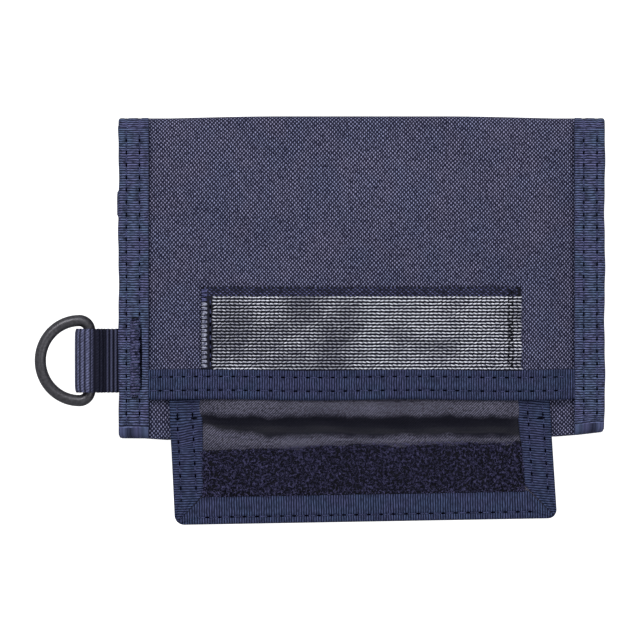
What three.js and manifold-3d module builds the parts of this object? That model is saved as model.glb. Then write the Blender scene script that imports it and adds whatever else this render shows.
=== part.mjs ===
// A cloth trifold wallet, shown folded flat and lying on its rear panel.
//
// Three stiffened cloth panels of one size lie on each other and are joined by two cloth folds:
//   coin panel    on top, with an outside coin pocket, its flap hanging open, and a D-ring on a webbing tab
//   centre panel  in the middle, with card pockets on its upper side and half of the note sleeve below
//   rear panel    at the bottom, with the other half of the note sleeve and one card pocket
// The coin panel is joined to the centre panel at +Y, and the rear panel at -Y, so the strip folds in a zigzag.
// Each fold is a cloth strip that turns a quarter at each of its two edges.
//
// Millimetres, +Z up. The origin is the middle of the rear panel's underside. +Y points at the front fold.
import * as THREE from "three";
import { mergeVertices } from "three/addons/utils/BufferGeometryUtils.js";
import Module from "manifold-3d";

const wasm = await Module();
wasm.setup();

// ---- Driving dimensions ----
const WIDTH = 121.5; // across the bound edges, along X
const LENGTH = 80; // from fold to fold, along Y
const TAPE = 0.6; // binding tape
const TAPE_REACH = 7.6; // how far the tape covers each face
const CLOTH = 0.9; // coated pack cloth
const LINING = 0.4;
const BOARD = 1; // stiffener
const GAP = 0.1; // between layers that lie on each other
const FOLD_ROOM = 2; // the panels' layers stop this far short of the fold's outer face
const COIN_LIFT = 2.5; // how far the coin pocket's front stands off its back
const FLAP_HINGE_Y = -35.3;
const FLAP_X = [-48.1, 46.9]; // the flap's sides at its hinge
const FLAP_END = [[-46.6, -62.2], [49.6, -60.5]]; // the two corners at its end, before they are rounded
const FLAP_CORNER = 2.5;
const HOOK_WIDTH = 79.2;
const HOOK_HEIGHT = 20.4;
const MOUTH_Y = -30.9; // lower edge of the coin pocket's front
const CARD_WIDTH = 88; // room for an 85.6 mm card
const WEBBING_WIDTH = 16;
const WEBBING = 1.1; // one thickness of the tab's webbing
const RING_WIRE_R = 1.4;
const RING_HALF_HEIGHT = 9.85; // to the wire's middle
const RING_Y = -21.2;
const TAB_BEND_X = -62.4;
const RING_BAR_X = -68.2;
const RING_REACH = 12.1; // from the bar to the far side of the bow, middle to middle

// ---- Levels, from the table up ----
const EDGE_X = WIDTH / 2;
const END_Y = LENGTH / 2;
const INNER_X = EDGE_X - TAPE - GAP; // where the layers stop inside the tape
const FREE_X = EDGE_X - TAPE_REACH - 0.5; // clear of the tape's inner edge
const stackFrom = (start, ...layers) => {
  const out = [];
  let z = start;
  for (const t of layers) {
    out.push([z, z + t]);
    z += t + GAP;
  }
  return out;
};
const [rearTapeLow, rearShell, rearBoard, rearLining, rearTapeHigh] = stackFrom(
  0, TAPE, CLOTH, BOARD, LINING, TAPE);
const [centreTapeLow, centreCloth, centreBoard, centreLining, centreTapeHigh] = stackFrom(
  4.6, TAPE, 0.8, BOARD, 0.5, TAPE);
const [coinTapeLow, coinLining, coinBoard, coinShell, coinFrontLow, coinTapeHigh] = stackFrom(
  11.6, TAPE, LINING, BOARD, CLOTH, CLOTH, TAPE);
const coinFrontTop = coinFrontLow[1] + COIN_LIFT;
const flapLow = coinShell[1] + 0.15;
const [flapTapeLow, flapShell, flapLining, flapTapeHigh] = [
  [flapLow, flapLow + 0.4],
  [flapLow + 0.45, flapLow + 1.15],
  [flapLow + 1.2, flapLow + 1.6],
  [flapLow + 1.65, flapLow + 2.05],
];
const tabZ = (centreTapeHigh[1] + coinTapeLow[0]) / 2 + 0.05;

// ---- Materials ----
const paint = (color, roughness, metalness = 0) =>
  new THREE.MeshStandardMaterial({ color, roughness, metalness });
const NAVY_CLOTH = paint(0x3a3c58, 0.85);
const NAVY_TAPE = paint(0x2c3558, 0.75);
const NAVY_LINING = paint(0x3c3c4c, 0.5);
const NAVY_WEBBING = paint(0x262a48, 0.85);
const STIFFENER = paint(0x20222a, 0.7);
const HOOK_TAPE = paint(0x5c6078, 0.4);
const LOOP_TAPE = paint(0x17182c, 0.95);
const THREAD = paint(0x1c2040, 0.7);
const CLEAR_FILM = paint(0xc8d0d8, 0.15);
const RING_COAT = paint(0x3a3a3c, 0.45, 0.2);

// ---- Shape helpers ----
const group = new THREE.Group();

function add(name, geometry, material) {
  const mesh = new THREE.Mesh(geometry, material);
  mesh.name = name;
  group.add(mesh);
}

// A box between two values on each axis.
function slab([x0, x1], [y0, y1], [z0, z1]) {
  return new THREE.BoxGeometry(x1 - x0, y1 - y0, z1 - z0).translate(
    (x0 + x1) / 2, (y0 + y1) / 2, (z0 + z1) / 2);
}

function shapeOf(points) {
  return new THREE.Shape(points.map(([a, b]) => new THREE.Vector2(a, b)));
}

// A plan outline in X and Y, made thick along Z.
function prism(shape, [z0, z1], curveSegments = 8) {
  return new THREE.ExtrudeGeometry(shape, { depth: z1 - z0, bevelEnabled: false, curveSegments })
    .translate(0, 0, z0);
}

// A section in X and Z, made long along Y.
function alongY(shape, [y0, y1], curveSegments = 8) {
  return new THREE.ExtrudeGeometry(shape, { depth: y1 - y0, bevelEnabled: false, curveSegments })
    .rotateX(Math.PI / 2)
    .translate(0, y1, 0);
}

// A section in Y and Z, made long along X.
function alongX(shape, [x0, x1], curveSegments = 8) {
  const turn = new THREE.Matrix4().set(0, 0, 1, x0, 1, 0, 0, 0, 0, 1, 0, 0, 0, 0, 0, 1);
  return new THREE.ExtrudeGeometry(shape, { depth: x1 - x0, bevelEnabled: false, curveSegments })
    .applyMatrix4(turn);
}

function toSolid(geometry) {
  const bare = new THREE.BufferGeometry()
    .setAttribute("position", geometry.getAttribute("position"))
    .setIndex(geometry.index);
  const merged = mergeVertices(bare, 1e-4);
  return new wasm.Manifold(new wasm.Mesh({
    numProp: 3,
    vertProperties: merged.attributes.position.array,
    triVerts: new Uint32Array(merged.index.array),
  }));
}

function joined(...geometries) {
  const mesh = geometries.map(toSolid).reduce((a, b) => a.add(b)).getMesh();
  return new THREE.BufferGeometry()
    .setAttribute("position", new THREE.BufferAttribute(new Float32Array(mesh.vertProperties), 3))
    .setIndex(new THREE.BufferAttribute(new Uint32Array(mesh.triVerts), 1));
}

// The tape around a bound edge: a channel that opens towards the middle. side is -1 at -X and 1 at +X.
function edgeTape(side, [y0, y1], zLow, zHigh, reach = TAPE_REACH) {
  const out = side * EDGE_X;
  const back = side * (EDGE_X - TAPE);
  const tip = side * (EDGE_X - reach);
  const section = [
    [out, zLow], [tip, zLow], [tip, zLow + TAPE], [back, zLow + TAPE],
    [back, zHigh - TAPE], [tip, zHigh - TAPE], [tip, zHigh], [out, zHigh],
  ];
  return alongY(shapeOf(section), [y0, y1]);
}

// A flat pocket whose mouth has a thumb scoop. mouth is 1 where the pocket opens towards +Y.
function scoopedPocket(halfWidth, yClosed, yMouth, level) {
  const scoop = 9;
  const turn = Math.sign(yClosed - yMouth);
  const shape = new THREE.Shape();
  shape.moveTo(-halfWidth, yClosed);
  shape.lineTo(-halfWidth, yMouth);
  shape.lineTo(-scoop, yMouth);
  shape.quadraticCurveTo(0, yMouth + turn * scoop, scoop, yMouth);
  shape.lineTo(halfWidth, yMouth);
  shape.lineTo(halfWidth, yClosed);
  shape.closePath();
  return prism(shape, level);
}

// A sheet of even thickness over a grid, with its underside at height(x, y).
function domedSheet([x0, x1], [y0, y1], nx, ny, thickness, height) {
  const points = [];
  for (const lift of [0, thickness]) {
    for (let j = 0; j <= ny; j++) {
      for (let i = 0; i <= nx; i++) {
        const x = x0 + ((x1 - x0) * i) / nx;
        const y = y0 + ((y1 - y0) * j) / ny;
        points.push(x, y, height(x, y) + lift);
      }
    }
  }
  const row = nx + 1;
  const top = row * (ny + 1);
  const faces = [];
  const quad = (a, b, c, d) => faces.push(a, b, c, a, c, d);
  for (let j = 0; j < ny; j++) {
    for (let i = 0; i < nx; i++) {
      const a = j * row + i;
      quad(a, a + row, a + row + 1, a + 1);
      quad(top + a, top + a + 1, top + a + row + 1, top + a + row);
    }
  }
  for (let i = 0; i < nx; i++) {
    const b = ny * row + i;
    quad(i, i + 1, top + i + 1, top + i);
    quad(b + 1, b, top + b, top + b + 1);
  }
  for (let j = 0; j < ny; j++) {
    const a = j * row;
    const b = a + nx;
    quad(a + row, a, top + a, top + a + row);
    quad(b, b + row, top + b + row, top + b);
  }
  return new THREE.BufferGeometry()
    .setAttribute("position", new THREE.Float32BufferAttribute(points, 3))
    .setIndex(faces);
}

// ---- Rear panel ----
const panelY = [-END_Y + FOLD_ROOM, END_Y - FOLD_ROOM];
const innerX = [-INNER_X, INNER_X];

function panelLayers(prefix, board, lining, y) {
  add(prefix + "_board", slab([-FREE_X, FREE_X], [y[0] + 3, y[1] - 3], board), STIFFENER);
  add(prefix + "_lining", slab(innerX, y, lining), NAVY_LINING);
}

function panelTapes(prefix, y, zLow, zHigh) {
  add(prefix + "_binding_left", edgeTape(-1, y, zLow, zHigh), NAVY_TAPE);
  add(prefix + "_binding_right", edgeTape(1, y, zLow, zHigh), NAVY_TAPE);
}

const PATCH_HEIGHT = 10;
const PATCH_HALF = 38;

function buildRearPanel() {
  const y = [panelY[0], END_Y];
  // Between its tapes the cloth comes down level with them, so the whole underside rests on the table.
  const level = slab([-FREE_X, FREE_X], y, [0, rearShell[1]]);
  add("rear_shell", joined(slab(innerX, y, rearShell), level), NAVY_CLOTH);
  panelLayers("rear", rearBoard, rearLining, y);
  panelTapes("rear", y, rearTapeLow[0], rearTapeHigh[1]);
  const sleeve = [rearLining[1] + GAP, rearLining[1] + GAP + 0.3];
  const pocket = [sleeve[1] + GAP, sleeve[1] + GAP + 0.4];
  const patchY = [END_Y - 2 - PATCH_HEIGHT, END_Y - 2];
  add("rear_note_sleeve", slab([-FREE_X, FREE_X], [y[0], patchY[0] - 1], sleeve), NAVY_LINING);
  add("rear_card_pocket", scoopedPocket(CARD_WIDTH / 2, y[0] + 1, 14, pocket), NAVY_CLOTH);
  add("rear_closure_hook",
    slab([-PATCH_HALF, PATCH_HALF], patchY, [rearLining[1] + GAP, rearLining[1] + 1]), HOOK_TAPE);
}

// ---- Centre panel ----
function buildCentrePanel() {
  add("centre_cloth", slab(innerX, panelY, centreCloth), NAVY_CLOTH);
  panelLayers("centre", centreBoard, centreLining, panelY);
  panelTapes("centre", panelY, centreTapeLow[0], centreTapeHigh[1]);
  const lower = [centreLining[1] + GAP, centreLining[1] + GAP + 0.4];
  const upper = [lower[1] + GAP, lower[1] + GAP + 0.4];
  const loopY = [panelY[0] + 0.5, panelY[0] + 0.5 + PATCH_HEIGHT];
  add("centre_card_pocket_lower", scoopedPocket(CARD_WIDTH / 2, panelY[1] - 1, -20, lower), NAVY_CLOTH);
  add("centre_card_pocket_upper", scoopedPocket(CARD_WIDTH / 2, panelY[1] - 1, -8, upper), NAVY_CLOTH);
  add("front_closure_loop",
    slab([-PATCH_HALF, PATCH_HALF], loopY, [centreLining[1] + GAP, centreLining[1] + 2]), LOOP_TAPE);
  const under = centreCloth[0] - GAP;
  const patchY = [panelY[1] - PATCH_HEIGHT, panelY[1]];
  add("centre_note_sleeve",
    slab([-FREE_X, FREE_X], [panelY[0], patchY[0] - 1], [under - 0.3, under]), NAVY_LINING);
  add("rear_closure_loop",
    slab([-PATCH_HALF, PATCH_HALF], patchY, [rearLining[1] + 1.1, under]), LOOP_TAPE);
}

// ---- Folds ----
// side is 1 for the fold at +Y and -1 for the one at -Y. z0 and z1 are the outer faces that it joins.
const FOLD_CLEAR = 0.3;
function buildFold(prefix, side, z0, z1) {
  const levels = [z0 + FOLD_CLEAR, z1 - FOLD_CLEAR];
  const spread = (...distances) => distances.map((d) => side * (END_Y - d)).sort((a, b) => a - b);
  add(prefix + "_cloth", slab(innerX, spread(CLOTH, 0), levels), NAVY_CLOTH);
  add(prefix + "_lining", slab(innerX, spread(CLOTH + GAP + 0.3, CLOTH + GAP), levels), NAVY_LINING);
  for (const [word, x] of [["left", -1], ["right", 1]]) {
    const out = side * (END_Y + GAP + TAPE);
    const lip = side * (END_Y + GAP);
    const edge = x * EDGE_X;
    const back = x * (EDGE_X - TAPE);
    const tip = x * (EDGE_X - TAPE_REACH);
    const inner = side * (END_Y - CLOTH - 0.5);
    const plan = [[edge, out], [tip, out], [tip, lip], [back, lip], [back, inner], [edge, inner]];
    add(prefix + "_binding_" + word, prism(shapeOf(plan), levels), NAVY_TAPE);
  }
}

// ---- Coin panel ----
const ease = (t) => {
  const s = Math.min(Math.max(t, 0), 1);
  return s * s * (3 - 2 * s);
};
const CROWN_SIDE = [EDGE_X - TAPE_REACH, 9]; // where the front starts to rise, and over how far
const CROWN_FOLD = [END_Y - FOLD_ROOM, 22];
const crown = (x, y) =>
  COIN_LIFT *
  ease((CROWN_SIDE[0] - Math.abs(x)) / CROWN_SIDE[1]) *
  ease((CROWN_FOLD[0] - y) / CROWN_FOLD[1]);
const frontUnder = (x, y) => coinFrontLow[0] + crown(x, y);
const frontOver = (x, y) => frontUnder(x, y) + CLOTH + 2 * GAP;

function buildCoinPanel() {
  const y = [-END_Y, panelY[1]];
  add("coin_shell", slab(innerX, y, coinShell), NAVY_CLOTH);
  panelLayers("coin", coinBoard, coinLining, y);
  panelTapes("coin", y, coinTapeLow[0], coinTapeHigh[1]);
  add("coin_pocket_front",
    domedSheet(innerX, [MOUTH_Y + TAPE, panelY[1]], 40, 10, CLOTH, frontUnder), NAVY_CLOTH);
  buildMouthBinding();
  const hookY = [MOUTH_Y + TAPE_REACH + 0.2, MOUTH_Y + TAPE_REACH + 0.2 + HOOK_HEIGHT];
  const hookX = [-HOOK_WIDTH / 2, HOOK_WIDTH / 2];
  add("hook_strip", domedSheet(hookX, hookY, 16, 4, 1.1, frontOver), HOOK_TAPE);
  const rootY = [FLAP_HINGE_Y + 0.8, MOUTH_Y + 9];
  add("flap_root",
    slab(FLAP_X, rootY, [flapLow, flapLow + 0.9]), NAVY_CLOTH);
  buildIdWindow();
  const hookLow = centreLining[1] + 2 + GAP;
  add("front_closure_hook",
    slab([-PATCH_HALF, PATCH_HALF], [panelY[0] + 0.5, panelY[0] + 0.5 + PATCH_HEIGHT],
      [hookLow, coinLining[0] - GAP]), HOOK_TAPE);
  buildTabFixings();
}

// The tape along the mouth of the coin pocket, around the lower edge of its front.
function buildMouthBinding() {
  const x = [-EDGE_X + TAPE_REACH + 0.4, EDGE_X - TAPE_REACH - 0.4];
  const y = [MOUTH_Y, MOUTH_Y + TAPE_REACH];
  const outer = domedSheet(x, y, 36, 2, TAPE, frontOver);
  const rim = domedSheet(x, [MOUTH_Y, MOUTH_Y + TAPE / 2], 36, 1, CLOTH + 2 * GAP + TAPE, frontUnder);
  add("coin_mouth_binding", joined(outer, rim), NAVY_TAPE);
}

// A clear window for a card, sewn on the panel's inner side, open towards -Y.
function buildIdWindow() {
  const [frameX, frameY] = [[-47, 47], [-22, 36]];
  const frameZ = [coinLining[0] - GAP - 0.5, coinLining[0] - GAP];
  const frame = shapeOf([[frameX[0], frameY[0]], [frameX[1], frameY[0]], [frameX[1], frameY[1]],
    [frameX[0], frameY[1]]]);
  const border = 6;
  const [hx, hy] = [frameX[1] - border, border];
  frame.holes.push(new THREE.Path([
    new THREE.Vector2(-hx, frameY[0] + hy), new THREE.Vector2(-hx, frameY[1] - hy),
    new THREE.Vector2(hx, frameY[1] - hy), new THREE.Vector2(hx, frameY[0] + hy)]));
  add("id_window_frame", prism(frame, frameZ), NAVY_TAPE);
  add("id_window_film",
    slab([-hx - 3, hx + 3], [frameY[0] + 3, frameY[1] - 3], [frameZ[0] - 0.35, frameZ[0] - 0.05]),
    CLEAR_FILM);
}

// The sewn end of the tab's webbing under the edge tape, and the bar of dense stitching that holds it.
function buildTabFixings() {
  const y = [RING_Y - WEBBING_WIDTH / 2, RING_Y + WEBBING_WIDTH / 2];
  add("ring_webbing_anchor",
    slab([TAB_BEND_X + 1.6, -EDGE_X + 7], y, [tabZ - WEBBING, tabZ + WEBBING]), NAVY_WEBBING);
  const tackX = [-EDGE_X + 3, -EDGE_X + 5.2];
  add("ring_bar_tack",
    slab(tackX, [y[0] - 1.5, y[1] + 1.5], [coinTapeHigh[1] + 0.05, coinTapeHigh[1] + 0.4]), THREAD);
}

// ---- Coin flap ----
const flapStart = FLAP_HINGE_Y - 0.7;

// The flap's four corners, drawn in by inset on its three bound sides: left and right start, left and right end.
function flapCorners(inset) {
  const [[leftX, leftY], [rightX, rightY]] = FLAP_END;
  return [
    [FLAP_X[0] + inset, flapStart], [FLAP_X[1] - inset, flapStart],
    [leftX + inset, leftY + inset], [rightX - inset, rightY + inset],
  ];
}

function flapOutline(inset) {
  const [startLeft, startRight, endLeft, endRight] = flapCorners(inset);
  const shape = new THREE.Shape();
  const r = Math.max(FLAP_CORNER - inset, 0.5);
  shape.moveTo(...startLeft);
  shape.lineTo(endLeft[0], endLeft[1] + r);
  shape.quadraticCurveTo(...endLeft, endLeft[0] + r, endLeft[1]);
  shape.lineTo(endRight[0] - r, endRight[1]);
  shape.quadraticCurveTo(...endRight, endRight[0], endRight[1] + r);
  shape.lineTo(...startRight);
  shape.closePath();
  return shape;
}

// Tape round one side of the flap. It is cut from a full frame of tape by a plan area with mitred ends.
function flapTape(area) {
  const whole = [flapTapeLow[0], flapTapeHigh[1]];
  const cutter = prism(shapeOf(area), [whole[0] - 1, whole[1] + 1]);
  const inner = (inset, level) => toSolid(prism(flapOutline(inset), level));
  const frame = inner(0, whole)
    .subtract(inner(0.4, [flapTapeLow[1], flapTapeHigh[0]]))
    .subtract(toSolid(slab([-100, 100], [flapStart - 0.01, 0], [whole[0] - 1, whole[1] + 1])));
  const mesh = frame.intersect(toSolid(cutter)).getMesh();
  return new THREE.BufferGeometry()
    .setAttribute("position", new THREE.BufferAttribute(new Float32Array(mesh.vertProperties), 3))
    .setIndex(new THREE.BufferAttribute(new Uint32Array(mesh.triVerts), 1));
}

function buildFlap() {
  add("flap_shell", prism(flapOutline(0.5), flapShell), NAVY_CLOTH);
  add("flap_lining", prism(flapOutline(0.5), flapLining), NAVY_LINING);
  const reach = TAPE_REACH - 0.4;
  const [startLeft, startRight, endLeft, endRight] = flapCorners(0);
  const [, , innerLeft, innerRight] = flapCorners(reach);
  const tapeStart = flapStart + 5;
  const slit = 0.15; // between the side tapes and the end tape
  add("flap_binding_left", flapTape([[startLeft[0] - 4, tapeStart], [startLeft[0] + reach, tapeStart],
    innerLeft, [endLeft[0] - 3, endLeft[1] - 3], [startLeft[0] - 4, endLeft[1] - 3]]), NAVY_TAPE);
  add("flap_binding_right", flapTape([[startRight[0] - reach, tapeStart], [endRight[0] + 4, tapeStart],
    [endRight[0] + 4, endRight[1] - 3], [endRight[0] + 3, endRight[1] - 3], innerRight]), NAVY_TAPE);
  add("flap_binding_end", flapTape([[endLeft[0] - 3 + slit, endLeft[1] - 3 - slit],
    [innerLeft[0] + slit, innerLeft[1] - slit], [innerRight[0] - slit, innerRight[1] - slit],
    [endRight[0] + 3 - slit, endRight[1] - 3 - slit]]), NAVY_TAPE);
  const loopX = [innerLeft[0] + 0.3, startRight[0] - reach - 0.3];
  const loopY = [innerRight[1] + 0.2, innerRight[1] + 11.6];
  add("flap_loop_strip", slab(loopX, loopY, [flapLining[1] + 0.05, flapLining[1] + 1.05]), LOOP_TAPE);
}

// ---- D-ring and its tab ----
function buildTab() {
  const bore = RING_WIRE_R + 0.25;
  const wrap = bore + WEBBING;
  const waist = 0.75; // angle from +X where the wrap runs into the flat part
  const section = new THREE.Shape();
  section.moveTo(TAB_BEND_X - 0.4, tabZ + WEBBING);
  section.lineTo(RING_BAR_X + wrap * 1.35, tabZ + WEBBING);
  section.absarc(RING_BAR_X, tabZ, wrap, waist, 2 * Math.PI - waist, false);
  section.lineTo(RING_BAR_X + wrap * 1.35, tabZ - WEBBING);
  section.lineTo(TAB_BEND_X - 0.4, tabZ - WEBBING);
  section.closePath();
  const hole = new THREE.Path();
  hole.absarc(RING_BAR_X, tabZ, bore, 0, 2 * Math.PI, true);
  section.holes.push(hole);
  const y = [RING_Y - WEBBING_WIDTH / 2, RING_Y + WEBBING_WIDTH / 2];
  add("ring_webbing", alongY(section, y, 24), NAVY_WEBBING);
}

// The middle line of the D: a straight bar, two tight corners and a round bow.
function ringLine() {
  const corner = 2.25;
  const bowX = RING_BAR_X - corner;
  const straight = RING_HALF_HEIGHT - corner;
  const line = [];
  const arc = (cx, cy, rx, ry, from, to, steps) => {
    for (let i = 0; i < steps; i++) {
      const a = from + ((to - from) * i) / steps;
      line.push([cx + rx * Math.cos(a), cy + ry * Math.sin(a)]);
    }
  };
  arc(bowX, straight, corner, corner, 0, Math.PI / 2, 6);
  arc(bowX, 0, RING_REACH - corner, RING_HALF_HEIGHT, Math.PI / 2, 1.5 * Math.PI, 30);
  arc(bowX, -straight, corner, corner, -Math.PI / 2, 0, 6);
  line.push([RING_BAR_X, -straight]);
  return line.map(([x, y]) => [x, y + RING_Y]);
}

function buildRing() {
  const line = ringLine();
  const sides = 14;
  const n = line.length;
  const points = [];
  line.forEach(([x, y], i) => {
    const [px, py] = line[(i + n - 1) % n];
    const [qx, qy] = line[(i + 1) % n];
    const long = Math.hypot(qx - px, qy - py);
    const out = [(qy - py) / long, -(qx - px) / long];
    for (let k = 0; k < sides; k++) {
      const a = (2 * Math.PI * k) / sides;
      const r = RING_WIRE_R * Math.cos(a);
      points.push(x + out[0] * r, y + out[1] * r, tabZ + RING_WIRE_R * Math.sin(a));
    }
  });
  const faces = [];
  for (let i = 0; i < n; i++) {
    for (let k = 0; k < sides; k++) {
      const a = i * sides + k;
      const b = i * sides + ((k + 1) % sides);
      const c = ((i + 1) % n) * sides + k;
      const d = ((i + 1) % n) * sides + ((k + 1) % sides);
      faces.push(a, c, d, a, d, b);
    }
  }
  add("d_ring", new THREE.BufferGeometry()
    .setAttribute("position", new THREE.Float32BufferAttribute(points, 3))
    .setIndex(faces), RING_COAT);
}

buildRearPanel();
buildCentrePanel();
buildCoinPanel();
buildFold("front_fold", 1, centreCloth[0], coinShell[1]);
buildFold("rear_fold", -1, 0, centreLining[1]);
buildFlap();
buildTab();
buildRing();

export default group;
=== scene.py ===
"""Looks of a cloth trifold wallet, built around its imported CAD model.

The wallet lies on its rear panel. X runs across the bound edges, +Y points at the front fold and +Z is up.
Lengths are in millimetres, and MM turns them into the metres of the meshes and the frame. Every woven
piece carries a UV map in millimetres of cloth, so a material draws thread at its real size on any shape.
"""
import math

import bmesh
import bpy
import numpy as np
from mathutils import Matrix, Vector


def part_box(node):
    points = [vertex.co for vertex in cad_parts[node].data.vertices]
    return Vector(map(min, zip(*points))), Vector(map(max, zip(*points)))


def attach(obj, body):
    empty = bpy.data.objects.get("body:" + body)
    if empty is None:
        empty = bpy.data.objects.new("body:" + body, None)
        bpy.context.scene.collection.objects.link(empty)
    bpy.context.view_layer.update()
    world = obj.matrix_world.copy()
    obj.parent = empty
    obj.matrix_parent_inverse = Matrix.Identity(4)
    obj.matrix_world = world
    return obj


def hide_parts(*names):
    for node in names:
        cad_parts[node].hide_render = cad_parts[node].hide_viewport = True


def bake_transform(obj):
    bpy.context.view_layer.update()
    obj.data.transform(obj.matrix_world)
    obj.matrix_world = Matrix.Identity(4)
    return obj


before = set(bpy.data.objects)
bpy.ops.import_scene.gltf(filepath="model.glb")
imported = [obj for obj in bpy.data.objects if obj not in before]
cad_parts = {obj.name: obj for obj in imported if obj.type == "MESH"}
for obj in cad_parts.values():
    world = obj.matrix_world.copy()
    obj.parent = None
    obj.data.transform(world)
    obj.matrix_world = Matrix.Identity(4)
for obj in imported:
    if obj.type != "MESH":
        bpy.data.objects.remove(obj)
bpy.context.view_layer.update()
rng = np.random.default_rng(7)

MM = 0.001


def box_mm(node):
    low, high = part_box(node)
    return [v / MM for v in low], [v / MM for v in high]


# ---- Levels and edges, read from the CAD ----
coin_shell_low, coin_shell_high = box_mm("coin_shell")
front_low, front_high = box_mm("coin_pocket_front")
coin_tape_low, coin_tape_high = box_mm("coin_binding_right")
mouth_low, mouth_high = box_mm("coin_mouth_binding")
hook_low, hook_high = box_mm("hook_strip")
root_high = box_mm("flap_root")[1]
flap_shell_low, flap_shell_high = box_mm("flap_shell")
flap_lining_high = box_mm("flap_lining")[1]
flap_end_low, flap_end_high = box_mm("flap_binding_end")
flap_side_low, flap_side_high = box_mm("flap_binding_left")
centre_tape_low, centre_tape_high = box_mm("centre_binding_right")
rear_tape_low, rear_tape_high = box_mm("rear_binding_right")
tack_low, tack_high = box_mm("ring_bar_tack")
ring_low, ring_high = box_mm("d_ring")
webbing_low, webbing_high = box_mm("ring_webbing")
anchor_low, anchor_high = box_mm("ring_webbing_anchor")

TAPE = 0.6  # thickness
CLOTH = 0.9  # thickness
EDGE_X = coin_tape_high[0]
INNER_X = coin_shell_high[0]
FOLD_Y = box_mm("front_fold_cloth")[1][1]
TAPE_REACH = coin_tape_high[0] - coin_tape_low[0]
TAPE_INNER = EDGE_X - TAPE_REACH
TOP_Z = coin_shell_high[2]
FRONT_TOP = front_low[2] + CLOTH
CENTRE_UNDER = box_mm("centre_cloth")[0][2]
CENTRE_TOP = box_mm("centre_lining")[1][2]
SPINE_MID = (CENTRE_UNDER + TOP_Z) / 2
REAR_SPINE_MID = CENTRE_TOP / 2
SIDES = (("left", -1), ("right", 1))
UP = (0, 0, 1)


# ---- Node helpers ----
class Shader:
    """Builds one material's nodes. Every method returns a socket."""

    def __init__(self, name, roughness, specular, metallic=0.0):
        self.material = bpy.data.materials.new(name)
        self.material.use_nodes = True
        self.tree = self.material.node_tree
        self.nodes = self.tree.nodes
        self.bsdf = self.nodes["Principled BSDF"]
        self.set("Roughness", roughness)
        self.set("Metallic", metallic)
        self.set("Specular IOR Level", specular)

    def set(self, socket, value):
        """Links a socket, or sets a constant, on the shader itself."""
        if isinstance(value, bpy.types.NodeSocket):
            self.tree.links.new(value, self.bsdf.inputs[socket])
        else:
            self.bsdf.inputs[socket].default_value = value

    def node(self, kind, values, **settings):
        node = self.nodes.new(kind)
        for key, value in settings.items():
            setattr(node, key, value)
        for i, value in values.items():
            if isinstance(value, bpy.types.NodeSocket):
                self.tree.links.new(value, node.inputs[i])
            else:
                node.inputs[i].default_value = value
        return node

    def cloth_uv(self):
        """The UV map's x and y, in millimetres of cloth."""
        split = self.node("ShaderNodeSeparateXYZ", {0: self.node("ShaderNodeUVMap", {}).outputs[0]})
        return split.outputs[0], split.outputs[1]

    def plan(self):
        """The row frame's x and y in millimetres, for pieces kept from the CAD."""
        place = self.node("ShaderNodeTexCoord", {}).outputs["Object"]
        grown = self.node("ShaderNodeVectorMath", {0: place, 3: 1 / MM}, operation="SCALE").outputs[0]
        split = self.node("ShaderNodeSeparateXYZ", {0: grown})
        return split.outputs[0], split.outputs[1]

    def math(self, operation, *values, clamp=False):
        node = self.node("ShaderNodeMath", dict(enumerate(values)), operation=operation, use_clamp=clamp)
        return node.outputs[0]

    def add(self, a, b):
        return self.math("ADD", a, b)

    def sub(self, a, b):
        return self.math("SUBTRACT", a, b)

    def mul(self, a, b, clamp=False):
        return self.math("MULTIPLY", a, b, clamp=clamp)

    def power(self, a, exponent):
        return self.math("POWER", a, exponent)

    def join(self, x, y, z=0.0):
        return self.node("ShaderNodeCombineXYZ", {0: x, 1: y, 2: z}).outputs[0]

    def noise(self, x, y, scale, detail=2.0, seed=0.0):
        place = self.join(x, y, seed)
        node = self.node("ShaderNodeTexNoise", {"Vector": place, "Scale": scale, "Detail": detail})
        return node.outputs[0]

    def speck(self, scale, detail=2.0):
        """Noise through the solid, with scale features to the millimetre."""
        place = self.node("ShaderNodeTexCoord", {}).outputs["Object"]
        node = self.node("ShaderNodeTexNoise", {"Vector": place, "Scale": scale / MM, "Detail": detail})
        return node.outputs[0]

    def drift(self, x, y, scale, seed, reach):
        """Slow noise of half reach to either side of 0."""
        return self.mul(self.sub(self.noise(x, y, scale, 2.0, seed), 0.5), reach)

    def ramp(self, value, low, high, out_low=0.0, out_high=1.0):
        node = self.node("ShaderNodeMapRange", {0: value, 1: low, 2: high, 3: out_low, 4: out_high})
        return node.outputs[0]

    def mix(self, factor, a, b):
        node = self.node("ShaderNodeMix", {0: factor, 6: a, 7: b}, data_type="RGBA")
        return node.outputs[2]

    def bump(self, height, depth_mm, strength=1.0):
        node = self.node("ShaderNodeBump", {"Height": height, "Distance": depth_mm * MM})
        node.inputs["Strength"].default_value = strength
        self.set("Normal", node.outputs[0])

    def vary(self, value, noise, low, high, clamp=False):
        """value, made weaker or stronger from place to place by noise."""
        return self.mul(value, self.ramp(noise, 0.3, 0.7, low, high), clamp=clamp)

    def wave(self, x, pitch):
        """0 to 1 to 0 once every pitch."""
        turned = self.mul(x, math.pi / pitch)
        return self.math("ABSOLUTE", self.math("SINE", turned))


def shade(r, g, b):
    """An sRGB colour, 0 to 255, as linear RGBA."""
    def linear(c):
        c /= 255
        return c / 12.92 if c <= 0.04045 else ((c + 0.055) / 1.055) ** 2.4
    return (linear(r), linear(g), linear(b), 1.0)


# ---- Materials ----
RIB = 0.62  # pitch of the tape's ribs
CORD = 1.05  # pitch of the webbing's cords
WEB_SHADED_LENGTH = anchor_high[0] + 68.1  # length of webbing, from its sewn end, that lies flat and is darkened with painted shade
FLAP_CREASE_SHADE = (-37.4, 2.7)  # the painted shade over the flap lining's crease: its middle along Y, and half its width


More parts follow.
